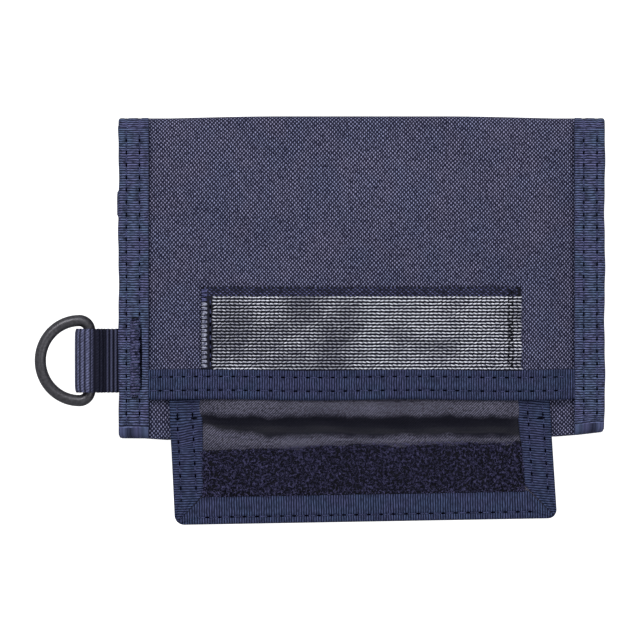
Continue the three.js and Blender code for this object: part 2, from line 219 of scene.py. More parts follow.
def pack_cloth(name, coords):
    """Coated plain-weave pack cloth: raised yarns in offset rows, painted pale on their crowns as highlight
    and dark between them as shade.
    """
    s = Shader(name, roughness=0.75, specular=0.12)
    x, y = getattr(s, coords)()
    warp, weft = 0.47, 0.52  # yarn pitches
    x = s.add(x, s.drift(x, y, 0.35, 0.0, 0.8))
    y = s.add(y, s.drift(x, y, 0.3, 7.0, 0.7))
    cell_x, cell_y = s.math("DIVIDE", x, warp), s.math("DIVIDE", y, weft)
    steps = s.add(s.math("FLOOR", cell_x), s.math("FLOOR", cell_y))
    over = s.math("FLOORED_MODULO", steps, 2.0)
    across, along = s.wave(x, warp), s.wave(y, weft)
    upright = s.mul(across, s.ramp(along, 0, 0.8, 0.45, 1))
    level = s.mul(along, s.ramp(across, 0, 1, 0.35, 1))
    height = s.add(s.mul(over, upright), s.mul(s.sub(1.0, over), s.mul(level, 0.22)))
    yarns = s.noise(x, y, 1.3, 3.0, 4.0)
    patches = s.noise(x, y, 0.05, 2.0, 9.0)
    # Painted highlight on the yarn crowns and painted shade between them, stronger or weaker from yarn to
    # yarn.
    light = s.vary(s.power(height, 1.7), yarns, 0.4, 1.95)
    light = s.vary(light, patches, 0.9, 1.15, clamp=True)
    tint = s.ramp(s.noise(x, y, 0.12, 2.0, 2.0), 0.35, 0.65)
    pale = s.mix(tint, shade(147, 145, 177), shade(139, 143, 178))
    s.set("Base Color", s.mix(light, shade(5, 5, 32), pale))
    s.bump(height, 0.2, 0.9)
    return s.material


def ribbed_tape(name, coords, dark, pale, warm, contrast=1.0):
    """Grosgrain: close cords across the tape, and fine threads over them."""
    s = Shader(name, roughness=0.7, specular=0.15)
    x, y = getattr(s, coords)()
    cords = s.wave(s.add(y, s.drift(x, y, 0.4, 0.0, 0.35)), RIB)
    threads = s.wave(x, 0.3)
    yarns = s.noise(s.mul(x, 0.35), y, 2.6, 3.0, 3.0)
    # Painted highlight on the cord crowns and painted shade in the grooves between cords and threads.
    light = s.vary(s.power(cords, 2.4), yarns, 0.75 - 0.6 * contrast, 0.8 + 0.85 * contrast)
    light = s.mul(light, s.ramp(threads, 0, 1, 0.7, 1.0), clamp=True)
    tint = s.mix(s.ramp(s.noise(x, y, 0.16, 2.0, 6.0), 0.38, 0.62), shade(*pale), shade(*warm))
    s.set("Base Color", s.mix(light, shade(*dark), tint))
    height = s.add(cords, s.mul(threads, 0.15))
    s.bump(height, 0.13, 0.8)
    return s.material


def twill_lining(name, coords, hollow=None):
    """Smooth lining with a fine diagonal rib. hollow, if given, lays painted shade along X over a crease:
    (middle, half width).
    """
    s = Shader(name, roughness=0.5, specular=0.14)
    x, y = getattr(s, coords)()
    diagonal = s.sub(s.mul(x, 0.7), s.mul(y, 0.7))
    rib = s.wave(diagonal, 0.46)
    yarns = s.noise(x, y, 1.8, 3.0)
    # Painted highlight along the diagonal ribs and painted shade between them.
    light = s.vary(s.power(rib, 1.6), yarns, 0.15, 1.55)
    light = s.vary(light, s.noise(x, y, 0.14, 2.0, 5.0), 0.75, 1.2)
    dark, pale = shade(7, 7, 20), shade(100, 98, 117)
    if hollow:
        middle, half = hollow
        # The painted crease shade narrows and drops towards its left end.
        half = s.ramp(x, -42.0, -24.0, half * 0.55, half)
        y = s.sub(y, s.ramp(x, -42.0, -24.0, 1.0, 0.0))
        away = s.math("ABSOLUTE", s.sub(s.add(y, s.drift(x, 0.0, 0.12, 8.0, 4.5)), middle))
        depth = s.sub(away, half)
        # Painted shade: the lining is darkened across the crease, most in its middle.
        light = s.mul(light, s.ramp(depth, -0.8, 0.5, 0.05, 1.0))
    s.set("Base Color", s.mix(light, dark, pale))
    s.bump(rib, 0.1, 0.7)
    return s.material


def webbing_weave(name):
    """Heavy webbing: thick cords bound by slanting yarns, with painted shade over the flat stretch by its sewn
    end.
    """
    s = Shader(name, roughness=0.75, specular=0.15)
    x, y = s.cloth_uv()
    cords = s.wave(y, CORD)
    slant = s.wave(s.add(x, s.mul(y, 0.9)), 0.72)
    yarns = s.noise(x, y, 2.0, 3.0)
    # Painted highlight on the cord crowns and painted shade between them.
    light = s.mul(s.power(cords, 1.2), s.ramp(slant, 0, 1, 0.25, 1.1))
    light = s.vary(light, yarns, 0.4, 1.4)
    # Painted shade over the flat stretch by the sewn end; close to the body its cords are painted pale again.
    light = s.mul(light, s.ramp(y, WEB_SHADED_LENGTH - 0.6, WEB_SHADED_LENGTH + 0.6, 0.1, 1.0), clamp=True)
    near_body = s.ramp(y, WEB_SHADED_LENGTH - 4.6, WEB_SHADED_LENGTH - 4.0, 0.5, 0.0)
    light = s.math("MAXIMUM", light, s.mul(s.power(cords, 3.0), near_body))
    s.set("Base Color", s.mix(light, shade(8, 9, 26), shade(110, 113, 148)))
    s.bump(s.mul(cords, s.ramp(slant, 0, 1, 0.6, 1.0)), 0.3, 0.9)
    return s.material


def yarn(name, dark, pale, roughness=0.6, scale=1.5, specular=0.2):
    """Twisted thread or pile: one colour that breaks up into paler and darker fibres."""
    s = Shader(name, roughness=roughness, specular=specular)
    speck = s.speck(scale)
    s.set("Base Color", s.mix(s.ramp(speck, 0.35, 0.65), shade(*dark), shade(*pale)))
    s.bump(speck, 0.05, 0.5)
    return s.material


def hook_plastic(name):
    """Clear-grey monofilament, its pale colour partly painted glint. Broad patches of painted sheen and
    painted shade lie across the strip.
    """
    s = Shader(name, roughness=0.35, specular=0.4)
    speck = s.speck(1.5)
    x, y = s.plan()
    # Painted sheen and shade: broad noise patches make the hooks paler or darker across the strip.
    patch = s.ramp(s.noise(s.mul(x, 0.8), y, 0.11, 2.0, 3.0), 0.36, 0.64, 0.5, 1.3)
    light = s.mul(patch, s.ramp(speck, 0.35, 0.65, 0.45, 1.0), clamp=True)
    s.set("Base Color", s.mix(light, shade(62, 64, 90), shade(236, 237, 248)))
    return s.material


def dark_wire(name):
    """Satin dark coating on steel, with faint drawn streaks and specks."""
    s = Shader(name, roughness=0.36, metallic=0.5, specular=0.4)
    fine, broad = s.speck(1.6, 3.0), s.speck(0.25)
    s.set("Base Color", s.mix(s.ramp(fine, 0.35, 0.65), shade(58, 57, 61), shade(76, 75, 80)))
    s.set("Roughness", s.ramp(broad, 0.3, 0.7, 0.3, 0.44))
    s.bump(fine, 0.02, 0.5)
    return s.material


def clear_film(name):
    """Thin clear plastic, a little cloudy."""
    s = Shader(name, roughness=0.12, specular=0.5)
    s.set("Alpha", 0.3)
    x, y = s.plan()
    s.set("Base Color", s.mix(s.noise(x, y, 0.08), shade(176, 184, 196), shade(206, 212, 220)))
    s.bump(s.noise(x, y, 0.05), 0.4, 0.3)
    return s.material


def board(name):
    """Grey board that stiffens a panel."""
    s = Shader(name, roughness=0.7, specular=0.2)
    x, y = s.plan()
    s.set("Base Color", s.mix(s.noise(x, y, 0.9, 4.0), shade(34, 35, 42), shade(48, 50, 58)))
    return s.material


CLOTH_UV = pack_cloth("navy_cloth", "cloth_uv")
CLOTH_PLAN = pack_cloth("navy_cloth_flat", "plan")
TAPE_UV = ribbed_tape("navy_tape", "cloth_uv", (6, 9, 26), (94, 110, 146), (102, 104, 148))
TAPE_DARK = ribbed_tape("navy_tape_dark", "cloth_uv", (7, 11, 32), (70, 83, 119), (75, 80, 119), 0.7)
TAPE_PLAN = ribbed_tape("navy_tape_flat", "plan", (14, 18, 38), (78, 88, 126), (84, 86, 130))
LINING_UV = twill_lining("navy_lining", "cloth_uv")
LINING_PLAN = twill_lining("navy_lining_flat", "plan")
FLAP_LINING_SHADED = twill_lining("flap_lining_satin_shaded", "cloth_uv", FLAP_CREASE_SHADE)
WEBBING = webbing_weave("navy_webbing")
THREAD = yarn("navy_thread", (16, 19, 44), (70, 74, 112))
# Near-black: needle holes, and painted shadow along creases.
HOLE_AND_SHADOW = yarn("needle_hole_and_shadow", (3, 3, 8), (8, 8, 16), roughness=0.9, specular=0.0)
TACK_THREAD = yarn("tack_thread", (18, 20, 44), (92, 92, 132))
HOOKS = hook_plastic("hook_filament")
HOOK_BASE = yarn("hook_base", (7, 7, 18), (18, 18, 36), roughness=0.7)
SELVAGE = yarn("hook_selvage", (70, 72, 98), (176, 178, 196), roughness=0.6)
SELVAGE_NAVY = yarn("hook_selvage_navy", (24, 27, 60), (104, 106, 150), roughness=0.6)
PILE = yarn("loop_pile", (5, 5, 18), (96, 94, 136), roughness=0.8, scale=1.4, specular=0.1)
PILE_BASE = yarn("loop_base", (4, 4, 12), (12, 12, 26), roughness=0.85)
WIRE = dark_wire("ring_coat")
FILM = clear_film("clear_film")
BOARD = board("stiffener")


# ---- Mesh helpers: points are in millimetres ----
def ease(t):
    """0 up to t = 0, 1 from t = 1, and smooth between."""
    t = np.clip(t, 0, 1)
    return t * t * (3 - 2 * t)


def out_of_square(points):
    """The sewn wallet isn't square: its fold bows, its lower right corner is drawn up, its left one sags."""
    points = np.array(points, float)
    x, y = points[:, 0], points[:, 1]
    bow = 0.7 * ease((np.abs(x) - 20) / 42) * ease((y - 33) / 6)
    low = ease((-y - 33) / 6) * ease((y + 44) / 3)
    corner = (1.1 * ease((x - 50) / 10) - (0.45 + 0.4 * ease((x + 55) / 5)) * ease((-40 - x) / 6)) * low
    points[:, 1] = y - bow + corner
    return points


def piece(name, points, faces, uvs, material, body=None, slot=None, replaces=()):
    """One smooth mesh. uvs has one pair for each point."""
    mesh = bpy.data.meshes.new(name)
    mesh.from_pydata([tuple(p) for p in out_of_square(points) * MM], [], faces)
    layer = mesh.uv_layers.new(name="cloth")
    corner_points = np.empty(len(mesh.loops), int)
    mesh.loops.foreach_get("vertex_index", corner_points)
    layer.data.foreach_set("uv", np.asarray(uvs, np.float32)[corner_points].ravel())
    bm = bmesh.new()
    bm.from_mesh(mesh)
    bmesh.ops.recalc_face_normals(bm, faces=bm.faces)
    bm.to_mesh(mesh)
    bm.free()
    mesh.polygons.foreach_set("use_smooth", [True] * len(mesh.polygons))
    mesh.materials.append(material)
    made = bpy.data.objects.new(name, mesh)
    bpy.context.scene.collection.objects.link(made)
    if body:
        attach(made, body)
    if replaces:
        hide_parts(*replaces)
    return made


def bridge(grid, close_rows=False, close_columns=False, caps=False):
    """Faces of a grid of point numbers, grid[row][column]."""
    rows, columns = grid.shape
    faces = []
    for i in range(rows if close_rows else rows - 1):
        for j in range(columns if close_columns else columns - 1):
            k, m = (i + 1) % rows, (j + 1) % columns
            faces.append((grid[i, j], grid[i, m], grid[k, m], grid[k, j]))
    if caps:
        faces.append(tuple(grid[0]))
        faces.append(tuple(reversed(grid[-1])))
    return faces


def tube(name, points, uv, material, closed=False, **facts):
    """A surface round rings of points, points[ring][place]. Its ends are capped unless it is closed."""
    grid = np.arange(points.shape[0] * points.shape[1]).reshape(points.shape[:2])
    faces = bridge(grid, close_rows=closed, close_columns=True, caps=not closed)
    return piece(name, points.reshape(-1, 3), faces, uv.reshape(-1, 2), material, **facts)


def sheet(name, outer, inner, uv, material, **facts):
    """A closed sheet between two grids of points of the same shape. uv is the cloth place of each point."""
    rows, columns = outer.shape[:2]
    count = rows * columns
    top = np.arange(count).reshape(rows, columns)
    under = top + count
    faces = bridge(top) + bridge(under[:, ::-1])
    ring = [*top[0], *top[1:, -1], *top[-1, -2::-1], *top[-2:0:-1, 0]]
    for a, b in zip(ring, ring[1:] + ring[:1]):
        faces.append((b, a, a + count, b + count))
    points = np.concatenate([outer.reshape(-1, 3), inner.reshape(-1, 3)])
    uvs = np.concatenate([uv.reshape(-1, 2)] * 2)
    return piece(name, points, faces, uvs, material, **facts)


def line(points, step):
    """Points along straight stretches, no further apart than step."""
    out = [np.asarray(points[0], float)]
    for a, b in zip(points, points[1:]):
        a, b = np.asarray(a, float), np.asarray(b, float)
        n = max(1, math.ceil(np.linalg.norm(b - a) / step))
        out += [a + (b - a) * i / n for i in range(1, n + 1)]
    return np.array(out)


def rounded(corners, radius, step=1.5, arc_steps=8):
    """A path through 2-D corners, with each inner corner rounded."""
    out = [np.asarray(corners[0], float)]
    for before, corner, after in zip(corners, corners[1:], corners[2:]):
        before, corner, after = (np.asarray(p, float) for p in (before, corner, after))
        into, away = corner - before, after - corner
        into, away = into / np.linalg.norm(into), away / np.linalg.norm(away)
        turn = math.acos(np.clip(into @ away, -1, 1))
        cut = radius * math.tan(turn / 2)
        start, end = corner - into * cut, corner + away * cut
        out += list(line([out[-1], start], step)[1:])
        for i in range(1, arc_steps + 1):
            t = i / arc_steps
            out.append((1 - t) ** 2 * start + 2 * t * (1 - t) * corner + t * t * end)
    out += list(line([out[-1], corners[-1]], step)[1:])
    return np.array(out)


def normals(path):
    """Unit normals of a 2-D path, to the right of its direction."""
    tangent = np.gradient(path, axis=0)
    tangent /= np.linalg.norm(tangent, axis=1)[:, None]
    return np.stack([tangent[:, 1], -tangent[:, 0]], 1)


def lengths(path):
    """Length along a path to each of its points."""
    return np.concatenate([[0], np.cumsum(np.linalg.norm(np.diff(path, axis=0), axis=1))])


def uv_grid(u, v):
    """A grid of pairs (u, v), with a row for each v."""
    return np.stack(np.broadcast_arrays(u[None, :], v[:, None]), -1)


def folded_cloth(name, path, xs, thickness, material, lift=None, **facts):
    """Cloth that follows a path in Y and Z, with its outer face on the right of the path."""
    n, along = normals(path), lengths(path)
    outer = np.zeros((len(path), len(xs), 3))
    outer[..., 0] = xs[None, :]
    outer[..., 1] = path[:, 0, None]
    outer[..., 2] = path[:, 1, None]
    if lift is not None:
        outer[..., 2] += lift(outer[..., 0], outer[..., 1])
    inner = outer.copy()
    inner[..., 1] -= n[:, 0, None] * thickness
    inner[..., 2] -= n[:, 1, None] * thickness
    return sheet(name, outer, inner, uv_grid(xs, along), material, **facts)


def xs_between(a, b, step):
    """Even values from a to b, no further apart than step."""
    return np.linspace(a, b, max(2, math.ceil((b - a) / step) + 1))


# ---- Stitching ----
def beads(name, pairs, up, radius, material, rings=7, sides=6, bow=0.0, **facts):
    """Short lengths of thread, each from a to b, whose ends dip into the cloth. bow lifts the middle."""
    points, faces, uvs = [], [], []
    for a, b in pairs:
        a, b, lift = np.asarray(a, float), np.asarray(b, float), np.asarray(up, float)
        way = (b - a) / np.linalg.norm(b - a)
        side = np.cross(lift, way)
        side /= np.linalg.norm(side)
        base = len(points)
        for i in range(rings):
            t = 0.5 - 0.5 * math.cos(math.pi * i / (rings - 1))
            swell = math.sin(math.pi * (i + 0.35) / (rings - 0.3))
            centre = a + (b - a) * t + lift * (bow * math.sin(math.pi * t) - (1 - swell) * radius * 1.5)
            for j in range(sides):
                turn = 2 * math.pi * j / sides
                points.append(centre + (side * math.cos(turn) + lift * math.sin(turn)) * radius * swell)
                uvs.append((j, t))
        grid = np.arange(base, base + rings * sides).reshape(rings, sides)
        faces += bridge(grid, close_columns=True, caps=True)
    return piece(name, points, faces, uvs, material, **facts)


def stitches(name, path, up, body=None, pitch=3.1, length=2.3, radius=0.17, slot="navy_tape"):
    """A row of lockstitch, as two pieces: beads of thread, and the dark needle holes between them."""
    path = np.asarray(path, float)
    along = lengths(path)

    def at(distance):
        return [np.interp(distance, along, path[:, c]) for c in range(3)]

    count = int((along[-1] - pitch) // pitch) + 1
    starts = [k * pitch + (pitch - length) / 2 for k in range(count)]
    pairs = [(at(d), at(d + length)) for d in starts]
    dip = np.asarray(up, float) * 0.04
    holes = [(at(k * pitch - 0.6) + dip, at(k * pitch + 0.6) + dip) for k in range(1, count)]
    return [beads(name, pairs, up, radius, THREAD, body=body, slot=slot),
            beads(name + "_holes", holes, up, 0.21, HOLE_AND_SHADOW, rings=5, body=body, slot=slot)]


# ---- Edge tapes ----
BULGE = (14, 22.5)  # along Y, the stretch of the centre panel's left tape that stands out
ROWS = (2.0, 5.3)  # the two stitch rows, from the tape's outer edge
GROOVE = 0.3  # depth of the groove that each row pulls
SMOOTH_END = 2.9  # length of a turned end that is pressed smooth


def tape_profile(depth, reach=TAPE_REACH, thickness=TAPE, rows=ROWS, far_rows=ROWS, radius=0.9):
    """A channel's section: (from the outer edge, below the outer face). Each stitch row has a groove."""
    def flange(outward, level, sign, stitched):
        out = []
        for t in np.linspace(radius, reach - 0.25, 26):
            dip = sum(GROOVE * math.exp(-((t - r) / 0.32) ** 2) for r in stitched)
            out.append((t, level + sign * dip))
        return out if outward else out[::-1]

    def corner(level, sign):
        return [(radius - radius * math.cos(a), level + sign * (radius - radius * math.sin(a)))
                for a in np.linspace(0, math.pi / 2, 6)]

    radius = min(radius, depth / 2 - 0.02)
    back = reach - 0.05
    section = flange(False, 0, 1, rows) + corner(0, 1)[::-1][1:]
    section += corner(depth, -1)[:-1] + flange(True, depth, -1, far_rows)
    section += [(reach, depth - 0.2), (back, depth - thickness), (thickness, depth - thickness)]
    section += [(thickness, thickness), (back, thickness), (reach, 0.2)]
    return np.array(section)


def tape_along(name, side, path, depth, body=None, replaces=(), profile=None, ends=(True, True), swell=None):
    """Tape round an edge at -X or +X. path is its outer face in Y and Z, with the outside on its right."""
    profile = tape_profile(depth) if profile is None else profile
    n, along = normals(path), lengths(path)
    around = lengths(profile)
    points = np.zeros((len(path), len(profile), 3))
    for i, (p, m) in enumerate(zip(path, n)):
        inset, drop = profile[:, 0].copy(), profile[:, 1].copy()
        # At a cut end the tape is folded under: it draws in a little and its edge turns down.
        for which, distance in ((0, along[i]), (1, along[-1] - along[i])):
            if ends[which]:
                pull = 0.45 * math.exp(-distance / 0.45)
                inset = inset + pull * (1 - inset / TAPE_REACH)
                drop = drop + (depth / 2 - drop) * pull * 1.1
        wobble = 0.0 if swell is None else swell(p[0])
        points[i, :, 0] = side * (EDGE_X + wobble * (1 - inset / TAPE_REACH) - inset)
        points[i, :, 1] = p[0] - m[0] * drop
        points[i, :, 2] = p[1] - m[1] * drop
    # The last stretch before a turned end is pressed smooth: its ribs run out.
    ribs = np.minimum(along, round((along[-1] - SMOOTH_END) / RIB) * RIB + 0.45) if ends[1] else along
    return tube(name, points, uv_grid(around, ribs), TAPE_UV, body=body, slot="navy_tape", replaces=replaces)


def edge_stitches(name, side, path, body):
    """Both stitch rows of an edge tape. path is the tape's outer face in Y and Z, and it is straight."""
    up = (0, *normals(path)[len(path) // 2])
    for r, inset in enumerate(ROWS):
        row = np.array([(side * (EDGE_X - inset), y, z) for y, z in path])
        row = row + np.asarray(up) * (0.1 - GROOVE)
        stitches(f"{name}_{r + 1}", row, up, body)


def flat_path(y0, y1, z, step=0.8):
    return line([(y0, z), (y1, z)], step)


def panel_tapes(panel, low, high, y0, y1, ends, bulge=0.0):
    """The two edge tapes of a panel. The path runs towards -Y, so that its right side is up.

    bulge is how far the left tape stands out at BULGE.
    """
    depth = high[2] - low[2]
    for word, side in SIDES:
        path = flat_path(y1, y0, high[2])

        def swell(y, side=side):
            stretch = ease((y - BULGE[0]) / 1.5) * ease((BULGE[1] - y) / 1.5)
            return 0.1 * math.sin(y * 0.23 + side) + 0.05 * math.sin(y * 0.71) + bulge * (side < 0) * stretch

        body, name = f"{panel}_panel", f"{panel}_tape_{word}"
        tape_along(name, side, path, depth, body=body, replaces=(f"{panel}_binding_{word}",), ends=ends,
                   swell=swell)
        edge_stitches(name + "_stitches", side, flat_path(y1 - 1, y0 + 1, high[2]), body)
        edge_stitches(name + "_under_stitches", side, flat_path(y0 + 1, y1 - 1, low[2]), body)


# ---- Coin panel ----
ON_COIN_HOOKS = {"body": "coin_panel", "slot": "hook_tape"}
MOUTH_Y = mouth_low[1]
MOUTH_REACH = mouth_high[1] - mouth_low[1]
MOUTH_ROWS = (2.3, 5.7)  # its tape's stitch rows, from its edge
HOOK_ROWS = 23
HOOK_ROW_PITCH = 0.806
HOOK_PITCH = 1.1
SELVAGE_TOP = 2.4  # height of the hook strip's woven upper edge
SELVAGE_SIDE = 1.6  # width of its sewn left edge


def crown(x, y):
    """How far the coin pocket's front stands off its back, as in the CAD."""
    lift = front_high[2] - front_low[2] - CLOTH
    across = ease((TAPE_INNER - np.abs(x)) / 9)
    towards_fold = ease((FOLD_Y - 2 - y) / 22)
    slack = 0.25 * np.sin(x * 0.09 + 1.3) * np.sin(y * 0.12) + 0.12 * np.sin(x * 0.31 - y * 0.17)
    from_tape = np.abs(TAPE_INNER - np.abs(x))
    pinch = 0.55 * np.exp(-(from_tape / 0.6) ** 2) * (y > MOUTH_Y + MOUTH_REACH)
    return (lift + slack) * across * towards_fold - pinch


def make_coin_face():
    path = rounded([(MOUTH_Y + 0.8, FRONT_TOP), (FOLD_Y, FRONT_TOP), (FOLD_Y, SPINE_MID - 0.6)][::-1], 2.2,
                   step=1.2)
    beside_tape = TAPE_INNER + np.array([-1.3, -0.9, -0.6, -0.3, 0.0, 0.3])
    xs = np.unique(np.concatenate([xs_between(-INNER_X, INNER_X, 1.6), beside_tape, -beside_tape]))
    made = folded_cloth("coin_face_cloth", path, xs, CLOTH * 0.8,
                        CLOTH_UV, lift=lambda x, y: crown(x, y) * (y < FOLD_Y - 2),
                        slot="navy_cloth", replaces=("coin_pocket_front", "front_fold_cloth"))
    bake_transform(made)


def make_coin_back():
    """The pocket's back, turned under round the panel's lower end."""
    low = box_mm("coin_lining")[0][2] - 0.15
    y_end = coin_shell_low[1]
    corners = [(coin_shell_high[1], TOP_Z), (y_end - 0.2, TOP_Z), (y_end - 0.2, low), (y_end + 7, low)]
    path = rounded(corners, 1.2)
    folded_cloth("coin_back_cloth", path, xs_between(-INNER_X, INNER_X, 6), CLOTH * 0.8, CLOTH_UV,
                 body="coin_panel", slot="navy_cloth", replaces=("coin_shell",))


def make_coin_lining():
    """The lining under the coin panel, which the ID window is sewn to."""
    low, high = box_mm("coin_lining")
    grid = np.stack(np.meshgrid(xs_between(low[0], high[0], 4), xs_between(low[1] + 0.3, high[1], 3)), -1)
    top, under = (np.dstack([grid, np.full(grid.shape[:2], z)]) for z in (high[2], low[2]))
    sheet("coin_lining_cloth", top, under, grid, LINING_UV, body="coin_panel", slot="navy_lining",
          replaces=("coin_lining",))


def mouth_tape():
    """Tape round the lower edge of the pocket's front, with both its stitch rows."""
    reach_x = TAPE_INNER + 0.15
    profile = tape_profile(TAPE * 2 + CLOTH, reach=MOUTH_REACH, rows=MOUTH_ROWS, far_rows=())
    xs = xs_between(-reach_x, reach_x, 0.9)
    points = np.zeros((len(xs), len(profile), 3))
    points[..., 0] = xs[:, None]
    points[..., 1] = MOUTH_Y + profile[None, :, 0] + 0.15 * np.sin(xs * 0.13)[:, None]
    points[..., 2] = FRONT_TOP + TAPE + crown(points[..., 0], points[..., 1]) - profile[None, :, 1]
    tube("coin_mouth_tape", points, uv_grid(lengths(profile), xs), TAPE_DARK, body="coin_panel",
         slot="navy_tape", replaces=("coin_mouth_binding",))
    for r, inset in enumerate(MOUTH_ROWS):
        y = MOUTH_Y + inset
        row = [(x, y + 0.15 * math.sin(x * 0.13), FRONT_TOP + TAPE + crown(x, y) + 0.1 - GROOVE) for x in xs]
        stitches(f"coin_mouth_stitches_{r + 1}", row, UP, "coin_panel")


def hook_pairs(rows, x0, x1, height):
    """Ends of every hook's filament, row by row along X. The rows sway a little, as the weave pulls them."""
    pairs = []
    for k, y in enumerate(rows):
        offset = rng.uniform(-0.25, 0.25)
        for x in np.arange(x0 + offset, x1 - HOOK_PITCH + offset, HOOK_PITCH):
            sway, tip = rng.normal(0, 0.03, 2)
            tilt = 0.13 * math.sin(x * 0.8 + k)
            a = (x, y + sway + tilt, height(x, y))
            b = (x + HOOK_PITCH * 1.06, y + tip - tilt, height(x + HOOK_PITCH, y))
            pairs.append((a, b))
    return pairs


def make_hook_strip():
    (x0, y0, _), (x1, y1, _) = hook_low, hook_high

    def surface(x, y):
        return FRONT_TOP + crown(x, y) + 0.55

    xs, ys = xs_between(x0 - 0.5, x1, 2.0), xs_between(y0 - 0.6, y1, 1.2)
    grid = np.stack(np.meshgrid(xs, ys), -1)
    top = np.dstack([grid, surface(grid[..., 0], grid[..., 1])])
    under = top - np.array([0, 0, 0.5])
    sheet("hook_strip_base", top, under, grid, HOOK_BASE, replaces=("hook_strip",), **ON_COIN_HOOKS)
    rows = [y1 - SELVAGE_TOP - 0.25 - k * HOOK_ROW_PITCH for k in range(HOOK_ROWS)]
    pairs = hook_pairs(rows, x0 + SELVAGE_SIDE + 0.8, x1 + 0.5, lambda x, y: surface(x, y) + 0.15)
    beads("hook_strip_hooks", pairs, UP, 0.17, HOOKS, rings=6, bow=0.3, **ON_COIN_HOOKS)
    # Woven edge along the top: rows of small floats over a navy ground.
    floats = []
    for r in range(5):
        y = y1 - 0.3 - r * 0.45
        for x in np.arange(x0 + 0.3 + 0.55 * (r % 2), x1 - 0.8, 1.1):
            floats.append(((x, y, surface(x, y) + 0.06), (x + 0.62, y - 0.1, surface(x, y) + 0.06)))
    beads("hook_strip_top_edge", floats, UP, 0.17, SELVAGE_NAVY, rings=5, bow=0.05, **ON_COIN_HOOKS)
    # Sewn edge down the left side, navy at its top and paler below.
    loops, navy = [], 6
    for n, y in enumerate(np.arange(y1 - 0.8, y0 + 0.1, -0.55)):
        slant = 0.22 if n % 2 else -0.12
        z = surface(x0 + 0.8, y) + 0.08
        loops.append(((x0 - 0.4, y, z), (x0 + SELVAGE_SIDE - 0.4, y + slant, z)))
    beads("hook_strip_side_edge", loops[navy:], UP, 0.24, SELVAGE, rings=6, bow=0.06, **ON_COIN_HOOKS)
    beads("hook_strip_side_edge_top", loops[:navy], UP, 0.22, SELVAGE_NAVY, rings=6, bow=0.06, **ON_COIN_HOOKS)
    side_row = [(x0 + SELVAGE_SIDE + 0.3, y, surface(x0, y) + 0.08) for y in xs_between(y0, y1 - 1.2, 1.0)]
    stitches("hook_strip_side_stitches", side_row, UP, pitch=2.2, length=1.5, **ON_COIN_HOOKS)
    zigzag = []
    left, right = x1 - 3.4, x1 - 1.7
    for y in np.arange(y1 - 0.6, y0 + 1.6, -1.5):
        z = surface(x1 - 3, y) + 0.42
        zigzag.append(((left, y, z), (right, y - 0.75, z)))
        zigzag.append(((right, y - 0.75, z), (left, y - 1.5, z)))
    beads("hook_strip_end_stitches", zigzag, UP, 0.21, PILE_BASE, **ON_COIN_HOOKS)


# ---- Coin flap ----
FLAP_START_Y = flap_side_high[1] + 5.0
FLAP_HINGE_Y = flap_shell_high[1]
FLAP_STEP_Y = -35.9  # where the side tapes' turned ends lie on the cloth of the hinge
FLAP_CORNERS = ((flap_side_low[0] + 1.5, flap_end_low[1]), (flap_end_high[0], flap_end_low[1] + 1.7))
FLAP_END_REACH = 7.1
FLAP_TOP = flap_end_high[2]
CORNER_R = 2.4
PILE_COUNT = 8200  # loops on the flap's strip
LINING_WAVE = (
    # the lining's height over its flat level, by Y: a lip, a hollow, and a ridge by the mouth
    (-64, 0), (-44.5, 0), (-43.2, 0.35), (-42.2, 0.75), (-41.2, 0.7), (-40.1, 0.0), (-39.0, -0.5),
    (-37.6, -0.45), (-36.4, 0.0), (-35.4, 0.75), (-34.4, 1.3), (-33.0, 1.45), (-31.0, 0.9), (-26.0, -0.7),
)


def flap_side(y, start_x, corner):
    """X of the flap's side at y. It is straight from the hinge line to its corner."""
    t = np.clip((FLAP_HINGE_Y - y) / (FLAP_HINGE_Y - corner[1]), 0, None)
    return start_x + t * (corner[0] - start_x)


def flap_left(y):
    return flap_side(y, flap_side_low[0], FLAP_CORNERS[0])


def flap_right(y):
    return flap_side(y, root_high[0], FLAP_CORNERS[1])


def flap_end(x):
    """The flap's end, which isn't quite square to its sides."""
    (x0, y0), (x1, y1) = FLAP_CORNERS
    return y0 + (y1 - y0) * (x - x0) / (x1 - x0)


def flap_grid(start_y, end_gap, side_gap, nu, nv):
    """Points over the flap in X and Y, from start_y down to end_gap short of its end."""
    u, v = np.meshgrid(np.linspace(0, 1, nu), np.linspace(0, 1, nv))
    y = start_y + (flap_end(0) + end_gap - start_y) * v
    x = flap_left(y) + side_gap + u * (flap_right(y) - flap_left(y) - 2 * side_gap)
    y = start_y + (flap_end(x) + end_gap - start_y) * v
    return x, y


def lining_height(x, y):
    """The lining buckles at the bend, less towards its sides, where it tucks under the tapes."""
    sway = 0.35 * np.sin(x * 0.075 + 0.6) + 0.2 * np.sin(x * 0.19)
    sway = sway - 1.3 * ease((x + 14) / 12) * ease((-39.2 - y) / 2.4)
    from_side = np.minimum(x - flap_left(y), flap_right(y) - x)
    edge = ease((from_side - 7.2) / 5)
    fine = 0.08 * np.sin(x * 0.45 + y * 0.8)
    tuck = 0.6 * (1 - ease((from_side - 5.5) / 2.5)) * ease((y + 46) / 4)
    return flap_lining_high[2] + (np.interp(y + sway, *zip(*LINING_WAVE)) + fine) * (0.1 + 0.9 * edge) - tuck


def follow_flap(made, bends=True):
    """The piece rides on the flap, or, with bends set, has its transform baked into its mesh."""
    if bends:
        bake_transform(made)
    else:
        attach(made, "coin_flap")


